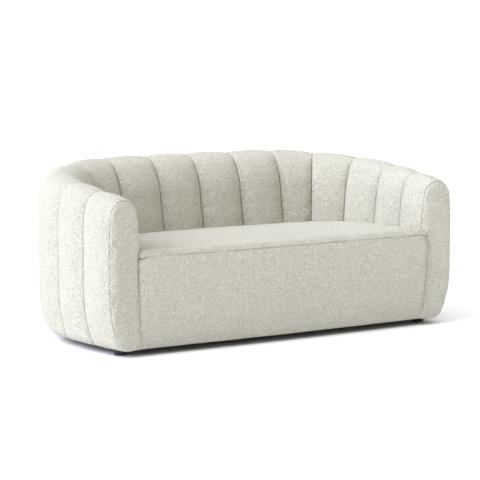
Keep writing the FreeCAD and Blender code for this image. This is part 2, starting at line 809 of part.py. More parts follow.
def front_posts():
    """Short posts between the two front rails."""
    low = FLOOR_BOARD + dim["base_rail_height"]
    high = SEAT_RING_TOP - dim["front_rail_height"]
    half = number_of("worked_out.front_rail_half") - dim["post_width"]
    posts = []
    for x in between(-half, half, int(dim["post_count"])):
        corner = Vector(x - dim["post_width"] / 2, BOARD_BACK, low)
        posts.append(Part.makeBox(dim["post_width"], dim["rail_thickness"], high - low, corner))
    return Part.makeCompound(posts)


finished("front_posts", front_posts())


def glue_blocks():
    """Three-cornered blocks where the two front rails meet the rings."""
    leg = dim["block_size"]
    blocks = []
    levels = (
        ("worked_out.base_rail_half", FLOOR_BOARD),
        ("worked_out.front_rail_half", SEAT_RING_TOP - dim["block_height"]),
    )
    for half, low in levels:
        for side in (-1, 1):
            edge = side * (number_of(half) - dim["rail_thickness"])
            corners = [(edge, RAIL_BACK), (edge - side * leg, RAIL_BACK), (edge, RAIL_BACK + leg)]
            face = flat([Vector(x, y, low) for x, y in corners])
            blocks.append(face.extrude(Vector(0, 0, dim["block_height"])))
    return Part.makeCompound(blocks)


finished("glue_blocks", glue_blocks())


# Feet, their bolts and tee nuts

def foot_set():
    """Four alike feet: one turned body, copied to each place."""
    master = turned("foot_master", [
        ("0", "0"),
        ("sizes.foot_base / 2 - sizes.foot_edge", "0"),
        ("sizes.foot_base / 2", "sizes.foot_edge"),
        ("sizes.foot_top / 2", "sizes.foot_height"),
        ("sizes.bolt_diameter / 2 + sizes.bolt_fit", "sizes.foot_height"),
        ("sizes.bolt_diameter / 2 + sizes.bolt_fit", "sizes.foot_height - sizes.bolt_depth"),
        ("0", "sizes.foot_height - sizes.bolt_depth"),
    ])
    doc.recompute()
    spots = [at(place, offset, 0) for place, offset in foot_places()]
    return Part.makeCompound([master.Shape.translated(spot) for spot in spots])


finished("feet", foot_set())


def bolt_set():
    """Studs that hold the feet, from the bottom of their bores up through the tee nuts."""
    low = UNDERSIDE - dim["bolt_depth"]
    high = RING_TOP + dim["nut_flange_thickness"] + dim["bolt_diameter"] / 2
    studs = []
    for place, offset in foot_places():
        studs.append(Part.makeCylinder(dim["bolt_diameter"] / 2, high - low, at(place, offset, low)))
    return Part.makeCompound(studs)


def nut_set():
    """Tee nuts: a flange on the bottom ring and a barrel in its hole."""
    nuts = []
    bore = dim["bolt_diameter"] / 2 + dim["bolt_fit"] / 2
    barrel_length, flange_thickness = dim["nut_barrel_length"], dim["nut_flange_thickness"]
    length = barrel_length + flange_thickness
    for place, offset in foot_places():
        low = at(place, offset, RING_TOP - barrel_length)
        barrel = Part.makeCylinder(dim["nut_barrel"] / 2, barrel_length, low)
        flange = Part.makeCylinder(dim["nut_flange"] / 2, flange_thickness, at(place, offset, RING_TOP))
        whole = barrel.fuse(flange).removeSplitter()
        nuts.append(whole.cut(Part.makeCylinder(bore, 3 * length, low - Vector(0, 0, length))))
    return Part.makeCompound(nuts)


finished("foot_bolts", bolt_set())
finished("tee_nuts", nut_set())


# Seat: woven webbing, deck cloth, foam and a crowned cover

WEB = dim["web_thickness"]
WEB_HALF = dim["web_width"] / 2
STAPLE = dim["staple_wire"]


def web_line(spot):
    """Offset where the webbing ends on the seat ring, just short of the lining."""
    return lining_face(spot) - dim["foot_margin"]


def strap_places():
    """X of each strap that runs front to back, with the y of its rear end."""
    half = number_of("worked_out.front_rail_half")
    side = int((half - dim["web_width"]) / dim["web_pitch"])
    places = []
    for number in range(-side, side + 1):
        x = number * dim["web_pitch"]
        places.append((x, curve_y(abs(x) + WEB_HALF, web_line)))
    return places


def cross_rows():
    """Y of each strap that runs side to side, with half its length."""
    rows = []
    y = RAIL_BACK + dim["web_front_row"]
    deepest = curve_y(dim["web_pitch"] + WEB_HALF, web_line)
    while y + WEB_HALF + dim["seat_ledge"] < deepest:
        rows.append((y, curve_x(y + WEB_HALF, web_line)))
        y += dim["cross_pitch"]
    return rows


STRAPS = strap_places()
ROWS = cross_rows()


def straight_straps():
    """The straps that lie flat from the front rail to the back of the ring."""
    front = BOARD_BACK + STAPLE
    straps = []
    for x, rear in STRAPS:
        corner = Vector(x - WEB_HALF, front, SEAT_RING_TOP)
        straps.append(Part.makeBox(dim["web_width"], rear - front, WEB, corner))
    return Part.makeCompound(straps)


def woven_strap(row, y, half):
    """A strap that passes over and under the others in turn."""
    level = SEAT_RING_TOP
    line = [(-half, level), (-half + dim["seat_ledge"], level)]
    ease = dim["web_ease"]
    for number, (x, rear) in enumerate(STRAPS):
        if rear < y + WEB_HALF or abs(x) + WEB_HALF + ease > half - dim["seat_ledge"]:
            continue
        over = (number + row) % 2 == 0
        height = level + WEB + GAP if over else level - WEB - GAP
        line += [(x - WEB_HALF - ease, height), (x + WEB_HALF + ease, height)]
    line += [(half - dim["seat_ledge"], level), (half, level)]
    corners = [Vector(x, y - WEB_HALF, height) for x, height in line]
    corners += [Vector(x, y - WEB_HALF, height + WEB) for x, height in reversed(line)]
    return flat(corners).extrude(Vector(0, dim["web_width"], 0))


finished("webbing_front_to_back", straight_straps())
woven = [woven_strap(row, y, half) for row, (y, half) in enumerate(ROWS)]
finished("webbing_side_to_side", Part.makeCompound(woven))


def webbing_staples():
    """The crowns of the staples at each end of each strap; their legs are in the wood."""
    length = dim["staple_width"]
    top = SEAT_RING_TOP + WEB
    crowns = []
    for x, rear in STRAPS:
        for y in (BOARD_BACK + dim["rail_thickness"] / 2, rear - length):
            for step in (-1, 0, 1):
                corner = Vector(x + step * WEB_HALF / 2 - length / 2, y, top)
                crowns.append(Part.makeBox(length, STAPLE, STAPLE, corner))
    for y, half in ROWS:
        for x in (-half + length, half - length - STAPLE):
            for step in (-1, 0, 1):
                corner = Vector(x, y + step * WEB_HALF / 2 - length / 2, top)
                crowns.append(Part.makeBox(STAPLE, length, STAPLE, corner))
    return Part.makeCompound(crowns)


finished("webbing_staples", webbing_staples())
finished("deck_cloth", plate_inside(
    lambda spot: lining_face(spot) - GAP, CLOTH_BOTTOM, dim["cloth_thickness"], ARM_BOARD_BACK + GAP,
))


def channel_line(height):
    """Points just inside the channels' skin, from the end of one arm round to the other."""
    places = [place for low, high in zip(SEAMS, SEAMS[1:]) for place in pad_places(low, high)]
    return along_wall(lambda spot: skin_offset(spot, height) - GAP, height, places)


def foam_slab():
    """The seat foam, cut to the channels it is pushed between."""
    slab = flat(channel_line(TUCK)).extrude(Vector(0, 0, FOAM_TOP - FOAM_BOTTOM))
    slab.translate(Vector(0, 0, FOAM_BOTTOM - TUCK))
    return behind(slab, BOARD_BACK + GAP)


finished("seat_foam", foam_slab())

PANEL_HALF = curve_x(BOARD_FRONT, lambda spot: skin_offset(spot, TUCK)) - GAP
SEAM_FRONT = FRONT_FACE + dim["seam_set"]


def bowed_front(front, half, radius, height):
    """Points along a bowed front with rounded corners, from its left end to its right end."""
    left = []
    for turn in between(0.0, math.pi / 2, ARC_COUNT + 1):
        across_corner = radius * (1 - math.cos(turn))
        left.append(Vector(half - across_corner, front + radius * (1 - math.sin(turn)), height))
    reach = half - radius
    bow = []
    for x in between(reach, -reach, BOW_COUNT + 1)[1:-1]:
        bow.append(Vector(x, front - dim["front_bow"] * (1 - (x / reach) ** 2), height))
    return left + bow + [Vector(-point.x, point.y, height) for point in reversed(left)]


def seat_section(x):
    """Profile of the seat's crown at an x: up its back, over the crown and down the rounded front edge."""
    reach = PANEL_HALF + dim["front_corner"]
    rear = BACK_LINE + skin_offset(equal_width / 2, dim["seat_height"])
    front = SEAM_FRONT - dim["front_bow"] * max(1 - (x / PANEL_HALF) ** 2, 0.0)
    middle = (rear + front) / 2
    low = FRONT_SEAM + GAP
    rise = dim["seat_crown"] * (1 - (x / reach) ** 2)
    turn = front + dim["seat_round"]
    half_run = rear - middle
    points = [(rear, low)]
    for y in between(rear, turn, CROWN_COUNT + 1):
        points.append((y, dim["seat_height"] + rise * (1 - ((y - middle) / half_run) ** 2)))
    slope = 2 * rise * (middle - turn) / half_run ** 2
    length = math.hypot(1.0, slope)
    points += two_arcs(points[-1], (-1 / length, -slope / length), (front, low), (0.0, -1.0))
    return [Vector(x, y, z) for y, z in points]


def seat_cover():
    """The crowned cover: the swell over the whole seat, kept inside the channels and the bowed front."""
    reach = PANEL_HALF + dim["front_corner"] / 2
    swell = faceted([seat_section(x) for x in between(-reach, reach, SEAT_COUNT)])
    height = FRONT_SEAM
    outline = channel_line(height) + bowed_front(SEAM_FRONT - GAP, PANEL_HALF, dim["front_corner"], height)
    return swell.common(flat(outline).extrude(Vector(0, 0, dim["seat_round"])))


finished("seat_cover", seat_cover())


# Front panel, and the cloth that closes the underside

def panel_section(height, set_back):
    """Plan of the front panel at a height: a straight back, rounded ends and a bowed front."""
    front = FRONT_FACE + set_back
    radius = min(dim["front_corner"], (BOARD_FRONT - front) / 2)
    half = min(PANEL_HALF, at(WALL_LENGTH, inner_offset(WALL_LENGTH, height), 0).x - 2 * GAP)
    ends = [Vector(side * half, BOARD_FRONT, height) for side in (-1, 1)]
    return ends + bowed_front(front, half, radius, height)


def front_border():
    """The padded front panel: fullest near its top, raked back towards its lower edge."""
    low, high = dim["front_bottom"], FRONT_SEAM
    fullest = high - dim["seat_round"]
    drop = fullest - low
    rows = []
    for height in between(low, fullest, ARC_COUNT + 1):
        rows.append((height, dim["front_rake"] * ((fullest - height) / drop) ** 2))
    rows.append((high, dim["seam_set"]))
    return faceted([panel_section(height, set_back) for height, set_back in rows])


finished("front_border", front_border())


def dust_line(spot):
    """Offset of the dust cover's edge."""
    return base_edge(spot) - dim["foot_margin"]


finished("dust_cover", with_foot_holes(
    plate_inside(dust_line, UNDERSIDE, dim["dust_thickness"], BOARD_BACK + dim["foot_margin"]),
))


def dust_staples():
    """Crowns of the staples along the dust cover's curved edge."""
    crowns = []
    low = UNDERSIDE - STAPLE
    end = BOARD_END - dim["dust_staple_pitch"]
    for place in between(-end, end, round(2 * end / dim["dust_staple_pitch"]) + 1):
        if any(abs(place - spot) < dim["foot_top"] for spot, offset in foot_places()):
            continue
        offset = dust_line(place) - dim["foot_margin"] / 2
        outer, inner = offset, offset - STAPLE
        corners = [(outer, low), (outer, UNDERSIDE), (inner, UNDERSIDE), (inner, low)]
        crowns.append(prism(place, corners, dim["staple_width"], -dim["staple_width"] / 2))
    return Part.makeCompound(crowns)


finished("dust_staples", dust_staples())


# Check every object, then write each sub-part

doc.recompute()
for item in doc.Objects:
    if "Invalid" in item.State or "Error" in item.State:
        raise RuntimeError("object %s failed: %s" % (item.Label, item.State))
for piece in subparts:
    if piece.Shape.isNull() or not piece.Shape.isValid() or piece.Shape.Volume <= 0:
        raise RuntimeError("sub-part %s has no sound solid" % piece.Label)

os.makedirs("parts", exist_ok=True)
for piece in subparts:
    piece.Shape.exportStep(os.path.join("parts", piece.Label + ".step"))
    print("%-24s %3d solids %12.0f mm3" % (piece.Label, len(piece.Shape.Solids), piece.Shape.Volume))
print(len(subparts), "sub-parts")
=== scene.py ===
import json
import math

import bmesh
import bpy
import numpy as np
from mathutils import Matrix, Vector, noise


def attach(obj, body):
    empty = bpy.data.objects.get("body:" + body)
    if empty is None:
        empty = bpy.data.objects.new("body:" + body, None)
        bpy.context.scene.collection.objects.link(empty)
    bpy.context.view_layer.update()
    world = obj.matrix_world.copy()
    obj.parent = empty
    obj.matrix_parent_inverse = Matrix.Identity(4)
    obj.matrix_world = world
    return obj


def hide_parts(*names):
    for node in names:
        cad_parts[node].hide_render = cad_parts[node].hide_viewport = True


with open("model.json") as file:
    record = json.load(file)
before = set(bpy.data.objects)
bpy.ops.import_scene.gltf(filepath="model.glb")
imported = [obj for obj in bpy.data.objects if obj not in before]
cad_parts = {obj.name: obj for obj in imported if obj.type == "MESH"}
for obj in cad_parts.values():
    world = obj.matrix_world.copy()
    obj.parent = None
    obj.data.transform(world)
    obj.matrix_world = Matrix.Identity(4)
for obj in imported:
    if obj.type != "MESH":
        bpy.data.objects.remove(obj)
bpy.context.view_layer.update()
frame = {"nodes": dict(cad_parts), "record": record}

# The sofa's measures in millimetres, as in the part's source. Meshes are scaled to metres when they are made.

ARCS = [(3680.0, 6.5), (382.0, 49.7), (513.0, 34.4), (2670.0, 7.0)]
BACK_LENGTH = ARCS[0][0] * math.radians(ARCS[0][1])
WALL_LENGTH = sum(radius * math.radians(angle) for radius, angle in ARCS)
BACK_LINE = 364.008
FRONT_FACE = BACK_LINE - 829.0
BACK_HEIGHT = 700.0
ARM_DROP = 91.0
EARLY_DROP = 0.57
BACK_THICKNESS = 199.0
ARM_THICKNESS = 140.0
BACK_SLOPE = math.tan(math.radians(10.2))
ARM_SLOPE = math.tan(math.radians(1.8))
SHOULDER_RISE = 151.0
BASE_RISE = 213.0
BASE_INSET = 75.0
BACK_EASE = 1.5
ARM_EASE = 3.0
ARM_INSET = 9.0
CHANNEL_CROWN = 15.0
CREST_CROWN = 7.0
CROWN_POWER = 2.5
FRONT_CHANNEL = 163.0
SECOND_CHANNEL = 180.0
EQUAL_CHANNELS = 5
PAD_THICKNESS = 18.0
RAIL_DEPTH = 34.0
BACK_RAIL = 80.0
ARM_RAIL = 56.0
UNDERSIDE = 25.5
SEAT_HEIGHT = 392.0
SEAT_ROUND = 75.0
SEAT_ROLL = 115.0
SEAT_LIFT = 13.0
SEAT_FULL = 14.0
FRONT_SEAM = 387.0
TUCK = SEAT_HEIGHT - 60.0
FRONT_BOW = 12.0
SEAM_SET = 6.0
FRONT_RAKE = 28.0
FRONT_BOTTOM = 31.0
BOARD_FRONT = FRONT_FACE + 35.0

EQUAL_WIDTH = (WALL_LENGTH - FRONT_CHANNEL - SECOND_CHANNEL) / EQUAL_CHANNELS
HALF_SEAMS = [number * EQUAL_WIDTH for number in range(EQUAL_CHANNELS + 1)]
HALF_SEAMS += [WALL_LENGTH - FRONT_CHANNEL, WALL_LENGTH]
SEAMS = [-place for place in reversed(HALF_SEAMS[1:])] + HALF_SEAMS

# How the sewn seams pull the cloth in
SEAM_DEPTH = 9.0
SEAM_WIDTH = 12.0
END_DEPTH = 6.0
END_WIDTH = 24.0
CAP_INSET = 3.0
GROOVE_DEPTH = 7.0
GROOVE_WIDTH = 4.0
CREST_HOLD = 1.0
BOTTOM_HOLD = 0.3
SEAM_GAP = 0.3

METRES = 0.001


def plan(place):
    """Centre line point, outward and forward directions in plan at a distance along the wall."""
    left = abs(place)
    x, y, turned = 0.0, BACK_LINE, 0.0
    for number, (radius, degrees) in enumerate(ARCS):
        last = number == len(ARCS) - 1
        turn = left / radius if last else min(left / radius, math.radians(degrees))
        middle_x = x - radius * math.sin(turned)
        middle_y = y - radius * math.cos(turned)
        turned += turn
        x = middle_x + radius * math.sin(turned)
        y = middle_y + radius * math.cos(turned)
        left -= turn * radius
        if left <= 1e-9 and not last:
            break
    side = -1.0 if place < 0 else 1.0
    outward = (side * math.sin(turned), math.cos(turned))
    along = (side * math.cos(turned), -math.sin(turned))
    return (side * x, y), outward, along


def at(place, offset, height, ahead=0.0):
    """A point of space: distance along the wall, offset from its centre line, height, and how far ahead."""
    point, outward, along = plan(place)
    return (
        point[0] + outward[0] * offset + along[0] * ahead,
        point[1] + outward[1] * offset + along[1] * ahead,
        height,
    )


def arm_part(place):
    """How far a place is along a corner and an arm: 0 on the back, 1 at the arm's end."""
    return max(abs(place) - BACK_LENGTH, 0.0) / (WALL_LENGTH - BACK_LENGTH)


def wall(place):
    """Height, half thickness and inner slope of the wall at its seams."""
    part = arm_part(place)
    drop = ARM_DROP * (EARLY_DROP * part + (1 - EARLY_DROP) * part * part)
    thickness = BACK_THICKNESS + (ARM_THICKNESS - BACK_THICKNESS) * part
    return BACK_HEIGHT - drop, thickness / 2, BACK_SLOPE + (ARM_SLOPE - BACK_SLOPE) * part


def rail_half(place):
    """Half the width of the top rail under the padding."""
    return (BACK_RAIL + (ARM_RAIL - BACK_RAIL) * arm_part(place)) / 2


def arc(start, leaving, end, count):
    """Points along the arc that leaves start along a direction and ends at end, without its start."""
    cx, cy = end[0] - start[0], end[1] - start[1]
    across = cy * leaving[0] - cx * leaving[1]
    ahead = cx * leaving[0] + cy * leaving[1]
    points = []
    if abs(across) < 1e-9:
        for step in range(1, count + 1):
            points.append((start[0] + cx * step / count, start[1] + cy * step / count))
        return points
    radius = (cx * cx + cy * cy) / (2 * across)
    middle = (start[0] - leaving[1] * radius, start[1] + leaving[0] * radius)
    angle = 2 * math.atan2(across, ahead)
    rx, ry = start[0] - middle[0], start[1] - middle[1]
    for step in range(1, count + 1):
        turn = angle * step / count
        points.append((
            middle[0] + rx * math.cos(turn) - ry * math.sin(turn),
            middle[1] + rx * math.sin(turn) + ry * math.cos(turn),
        ))
    return points


def two_arcs(start, leaving, end, arriving, ratio, count):
    """Points along two tangent arcs between two points with given directions, without the start."""
    vx, vy = end[0] - start[0], end[1] - start[1]
    tx, ty = leaving[0] + ratio * arriving[0], leaving[1] + ratio * arriving[1]
    square = (1 + ratio) ** 2 - tx * tx - ty * ty
    linear = vx * tx + vy * ty
    first = (-linear + math.sqrt(linear ** 2 + square * (vx * vx + vy * vy))) / square
    near = (start[0] + first * leaving[0], start[1] + first * leaving[1])
    far = (end[0] - ratio * first * arriving[0], end[1] - ratio * first * arriving[1])
    share = 1 / (1 + ratio)
    joint = (near[0] + (far[0] - near[0]) * share, near[1] + (far[1] - near[1]) * share)
    length = math.hypot(far[0] - near[0], far[1] - near[1])
    tangent = ((far[0] - near[0]) / length, (far[1] - near[1]) / length)
    return arc(start, leaving, joint, count) + arc(joint, tangent, end, count)


def straight(start, end, count):
    """Points along a line, without its start."""
    steps = [step / count for step in range(1, count + 1)]
    return [(start[0] + (end[0] - start[0]) * s, start[1] + (end[1] - start[1]) * s) for s in steps]


BASE_STEPS = 9
FLANK_STEPS = 26
CREST_STEPS = 13


def skin_profile(place, swell, crest, shrink):
    """The wall's skin from its outer lower edge over the top to the end of its rounded shoulder."""
    height, half, slope = wall(place)
    half += swell - shrink
    height += crest - shrink
    share = arm_part(place) ** 2
    low = (half - BASE_INSET - (swell + ARM_INSET) * share, UNDERSIDE + BOTTOM_HOLD * shrink)
    ease = BACK_EASE + (ARM_EASE - BACK_EASE) * share
    flank = (half, UNDERSIDE + BASE_RISE)
    shoulder = (half, height - SHOULDER_RISE)
    crown = (0.0, height)
    lean = math.hypot(slope, 1.0)
    down = (-slope / lean, -1.0 / lean)
    inner = (-half - slope * SHOULDER_RISE, height - SHOULDER_RISE)
    points = [low] + two_arcs(low, (1.0, 0.0), flank, (0.0, 1.0), ease, BASE_STEPS)
    points += straight(flank, shoulder, FLANK_STEPS)
    points += two_arcs(shoulder, (0.0, 1.0), crown, (-1.0, 0.0), 1.0, CREST_STEPS)
    return points + two_arcs(crown, (-1.0, 0.0), inner, down, 1.0, CREST_STEPS)


def inner_offset(place, height, swell=0.0):
    """Offset of the wall's inner face at a height; it is negative, towards the seat."""
    top, half, slope = wall(place)
    return -(half + swell) - slope * (top - height)


def fullness(place):
    """How far the channel at a place swells, from 0 at its seams to 1 halfway between them."""
    for low, high in zip(SEAMS, SEAMS[1:]):
        if low <= place <= high:
            return 1 - abs(2 * (place - low) / (high - low) - 1) ** CROWN_POWER
    return 0.0


def seam_pull(distance, depth=SEAM_DEPTH, width=SEAM_WIDTH):
    """How deep a seam pulls the cloth in at a distance from it, round like a folded edge."""
    if distance >= width:
        return 0.0
    return depth * (1 - math.sqrt(1 - (1 - distance / width) ** 2))


def seam_distance(place):
    """Distance along the wall to the nearest seam."""
    return min(abs(place - seam) for seam in SEAMS)


def pull_at(place):
    """How deep the seams pull the channels in at a place; at the arms' ends the cloth rolls over further."""
    to_seam = seam_distance(place)
    groove = seam_pull(to_seam, GROOVE_DEPTH, GROOVE_WIDTH)
    if WALL_LENGTH - abs(place) > END_WIDTH:
        return groove + seam_pull(to_seam)
    return groove + seam_pull(WALL_LENGTH - abs(place), END_DEPTH, END_WIDTH)


def skin_offset(place, height, pull=1.0):
    """Offset of the channels' inner skin at a height."""
    full = fullness(place)
    swell = CHANNEL_CROWN * full + wall(place)[2] * CREST_CROWN * full
    return inner_offset(place, height, swell - pull * pull_at(place))


# Making meshes

def new_object(name, points, faces):
    """A mesh object from points in millimetres and its faces, smooth all over."""
    mesh = bpy.data.meshes.new(name)
    mesh.from_pydata([(x * METRES, y * METRES, z * METRES) for x, y, z in points], [], faces)
    mesh.polygons.foreach_set("use_smooth", [len(face) == 4 for face in faces])
    mesh.update()
    made = bpy.data.objects.new(name, mesh)
    bpy.context.scene.collection.objects.link(made)
    return made


def lofted(name, sections):
    """A closed form through closed sections that have equally many points."""
    count = len(sections[0])
    points = [point for section in sections for point in section]
    faces = []
    for row in range(len(sections) - 1):
        near, far = row * count, (row + 1) * count
        for number in range(count):
            after = (number + 1) % count
            faces.append((near + number, near + after, far + after, far + number))
    last = (len(sections) - 1) * count
    faces.append(tuple(range(count))[::-1])
    faces.append(tuple(range(last, last + count)))
    return new_object(name, points, faces)


def turned_out(piece):
    """Turns the faces of a closed piece outwards."""
    mesh = piece.data
    volume = 0.0
    mesh.calc_loop_triangles()
    for triangle in mesh.loop_triangles:
        a, b, c = (mesh.vertices[index].co for index in triangle.vertices)
        volume += a.dot(b.cross(c))
    if volume < 0:
        mesh.flip_normals()
    mesh.update()


def uneven(piece, amount, size, seed, direction=None):
    """Moves a piece's surface in and out a little, or along a direction, as cloth is never quite even."""
    mesh = piece.data
    shift = Vector((seed * 7.3, seed * 3.1, seed * 5.7))
    moves = []
    for vertex in mesh.vertices:
        spot = vertex.co / (size * METRES) + shift
        moves.append(noise.noise(spot) * amount * METRES)
    ways = [direction or vertex.normal.copy() for vertex in mesh.vertices]
    for vertex, way, move in zip(mesh.vertices, ways, moves):
        vertex.co += way * move
    mesh.update()


PAD_RELIEF = 1.2
PAD_SIZE = 70.0
NUB_RELIEF = 0.9
NUB_SIZE = 9.0
PAD_SEED = 1
NUB_SEED = 40


# Cloth under the padding's pressure

FRAMES = 20
PRESSURE = 4.0
ROOM = -0.012
PRESSED_OUT = 3.0
boucle_pieces = []
waiting = []


def cover(piece, node, held):
    """Takes a cover in for its node and puts it in line for the simulation, with its held points."""
    turned_out(piece)
    waiting.append((piece, held))
    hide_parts(node)
    boucle_pieces.append(piece)


def simulate():
    """Lets the padding press all covers out together, and no point further than PRESSED_OUT."""
    for piece, held in waiting:
        group = piece.vertex_groups.new(name="held")
        group.add(held, 1.0, "REPLACE")
        cloth = piece.modifiers.new("padding", "CLOTH")
        cloth.point_cache.frame_start = 1
        cloth.point_cache.frame_end = FRAMES
        settings = cloth.settings
        settings.quality = 5
        settings.mass = 0.4
        settings.tension_stiffness = 25.0
        settings.compression_stiffness = 25.0
        settings.shear_stiffness = 10.0
        settings.bending_stiffness = 1.0
        settings.use_pressure = True
        settings.uniform_pressure_force = PRESSURE
        settings.shrink_min = ROOM
        settings.shrink_max = ROOM
        settings.effector_weights.gravity = 0.0
        settings.vertex_group_mass = "held"
    scene = bpy.context.scene
    for moment in range(1, FRAMES + 1):
        scene.frame_set(moment)
    settled = bpy.context.evaluated_depsgraph_get()
    found = []
    for piece, held in waiting:
        mesh = piece.evaluated_get(settled).data
        found.append([vertex.co.copy() for vertex in mesh.vertices])
    most = PRESSED_OUT * METRES
    for (piece, held), places in zip(waiting, found):
        piece.modifiers.clear()
        piece.vertex_groups.clear()
        for vertex, place in zip(piece.data.vertices, places):
            move = place - vertex.co
            if move.length > most:
                move *= most / move.length
            vertex.co += move
        piece.data.update()
    scene.frame_set(1)


def between(low, high, count):
    """Evenly spaced values from low to high."""
    return [low + (high - low) * number / (count - 1) for number in range(count)]


# Channels

EDGE_STEPS = [SEAM_GAP, 1.0, 2.4, 4.4, 7.0, 9.6, 12.4, 16.0]
COLUMN_PITCH = 9.0
INNER_STEPS = 24
HEM = 7.5
HEM_THICKNESS = 0.5
SKIN_CLEARANCE = 1.6


def channel_columns(low, high):
    """Distances along the wall of a channel's columns, dense by its seams."""
    inner = between(low + EDGE_STEPS[-1], high - EDGE_STEPS[-1], round((high - low) / COLUMN_PITCH))
    by_low = [low + step for step in EDGE_STEPS[:-1]]
    by_high = [high - step for step in reversed(EDGE_STEPS[:-1])]
    return by_low + inner + by_high


def hidden_side(place):
    """The padding's hidden side, from its lower inner end over the frame to its outer lower edge."""
    height, half, slope = wall(place)
    toe = half - BASE_INSET
    half -= PAD_THICKNESS - SKIN_CLEARANCE
    rail = rail_half(place)
    top = height - RAIL_DEPTH + SKIN_CLEARANCE
    return [
        (-half - slope * (height - TUCK), TUCK),
        (-half - slope * SHOULDER_RISE, height - SHOULDER_RISE),
        (-rail, top),
        (rail, top),
        (half, height - SHOULDER_RISE),
        (half, UNDERSIDE + BASE_RISE),
        (toe + SKIN_CLEARANCE, UNDERSIDE + PAD_THICKNESS),
        (toe, UNDERSIDE + SKIN_CLEARANCE),
        (toe - HEM, UNDERSIDE + HEM_THICKNESS + 0.1),
        (toe - HEM, UNDERSIDE + 0.1),
    ]


SKIN_POINTS = 1 + 2 * BASE_STEPS + FLANK_STEPS + 4 * CREST_STEPS + INNER_STEPS - 1


def channel_section(place):
    """One closed section of a channel."""
    full = fullness(place)
    pull = pull_at(place)
    skin = skin_profile(place, CHANNEL_CROWN * full, CREST_CROWN * full + CREST_HOLD * pull, pull)
    start = skin[-1]
    down = [(skin_offset(place, height), height) for height in between(start[1], TUCK, INNER_STEPS)[1:]]
    return [at(place, offset, height) for offset, height in skin + down + hidden_side(place)]


for number, (low, high) in enumerate(zip(SEAMS, SEAMS[1:]), start=1):
    name = "channel_%02d" % number
    sections = [channel_section(place) for place in channel_columns(low, high)]
    piece = lofted("boucle_" + name, sections)
    length = len(sections[0])
    fixed = []
    for index in range(len(piece.data.vertices)):
        column, step = divmod(index, length)
        by_seam = column < 4 or column > len(sections) - 5
        if by_seam or step < 2 or step > SKIN_POINTS - 3:
            fixed.append(index)
    cover(piece, name, fixed)


# Arm caps

CAP_EDGE = 9.5
CAP_EDGE_ROUND = 3.0
CAP_PUFF = 7.0
CAP_REACH = 60.0
CAP_CORNER = 14.0
CAP_SIDE_STEPS = 60
CAP_CORNER_STEPS = 8
CAP_BASE_STEPS = 10
CAP_RINGS = (0.0, 0.15, 0.35, 0.7, 1.4, 2.6, 4.2, 6.2, 9.0, 12.5, 17.0, 22.0)
SPINE_SHARES = (0.12, 0.26, 0.42, 0.58, 0.74, 0.88, 1.0)
SPINE_FROM_BASE = 45.0
SPINE_FROM_TOP = 50.0
SPINE_MERGE = 6.0
HELD_OUTER_RINGS = 5
HELD_FROM_RING = 15


def cap_outline(place, shrink):
    """Outline of an arm's padded end, shrunk by an amount, as (offset, height) pairs."""
    slope = wall(place)[2]
    low = UNDERSIDE + BOTTOM_HOLD * shrink
    lean = math.hypot(slope, 1.0)
    edge = inner_offset(place, low) + shrink
    above = (edge + slope * CAP_CORNER, low + CAP_CORNER)
    aside = (edge + CAP_CORNER, low)
    points = skin_profile(place, 0.0, 0.0, shrink)
    points += straight(points[-1], above, CAP_SIDE_STEPS)
    points += arc(above, (-slope / lean, -1.0 / lean), aside, CAP_CORNER_STEPS)
    return points + straight(aside, points[0], CAP_BASE_STEPS)[:-1]


def cap_rise(inside):
    """How far the padded end stands ahead of its seam at a distance inside it: a round, then a crown."""
    crown = 1 - (1 - min(inside / CAP_REACH, 1.0)) ** 2
    return SEAM_GAP + CAP_EDGE * (1 - math.exp(-inside / CAP_EDGE_ROUND)) + CAP_PUFF * crown


def arm_cap(name, place):
    """The padded end: it comes out of its seam at the channel's pulled-in edge and is a little puffed."""
    rings = []
    for inside in CAP_RINGS:
        groove = seam_pull(cap_rise(inside) - SEAM_GAP, GROOVE_DEPTH, GROOVE_WIDTH)
        rings.append((cap_outline(place, CAP_INSET + inside + groove), cap_rise(inside)))
    edge = rings[-1][0]
    low = edge[0][1] + SPINE_FROM_BASE
    high = max(height for offset, height in edge) - SPINE_FROM_TOP
    spine = []
    for offset, height in edge:
        level = min(max(height, low), high)
        middle = inner_offset(place, level) + wall(place)[1]
        spine.append((middle / 2, level))
    for share in SPINE_SHARES:
        outline = []
        for (offset, height), (middle, level) in zip(edge, spine):
            outline.append((offset + (middle - offset) * share, height + (level - height) * share))
        rings.append((outline, cap_rise(CAP_RINGS[-1] + (CAP_REACH - CAP_RINGS[-1]) * share)))
    piece = lofted(name, [[at(place, o, h, ahead) for o, h in outline] for outline, ahead in rings])
    mesh = bmesh.new()
    mesh.from_mesh(piece.data)
    mesh.verts.ensure_lookup_table()
    bmesh.ops.remove_doubles(mesh, verts=mesh.verts[-len(edge):], dist=SPINE_MERGE * METRES)
    mesh.to_mesh(piece.data)
    mesh.free()
    piece.data.polygons.foreach_set("use_smooth", [True] * len(piece.data.polygons))
    return piece


cap_ways = {}
for side, place in (("right", -WALL_LENGTH), ("left", WALL_LENGTH)):
    piece = arm_cap("boucle_arm_cap_" + side, place)
    along = plan(place)[2]
    cap_ways[piece.name] = Vector((along[0], along[1], 0.0))
    length = len(cap_outline(place, CAP_INSET))
    fixed = list(range(length * HELD_OUTER_RINGS))
    fixed += range(length * HELD_FROM_RING, len(piece.data.vertices))
    cover(piece, "arm_cap_" + side, fixed)


# Seat cover

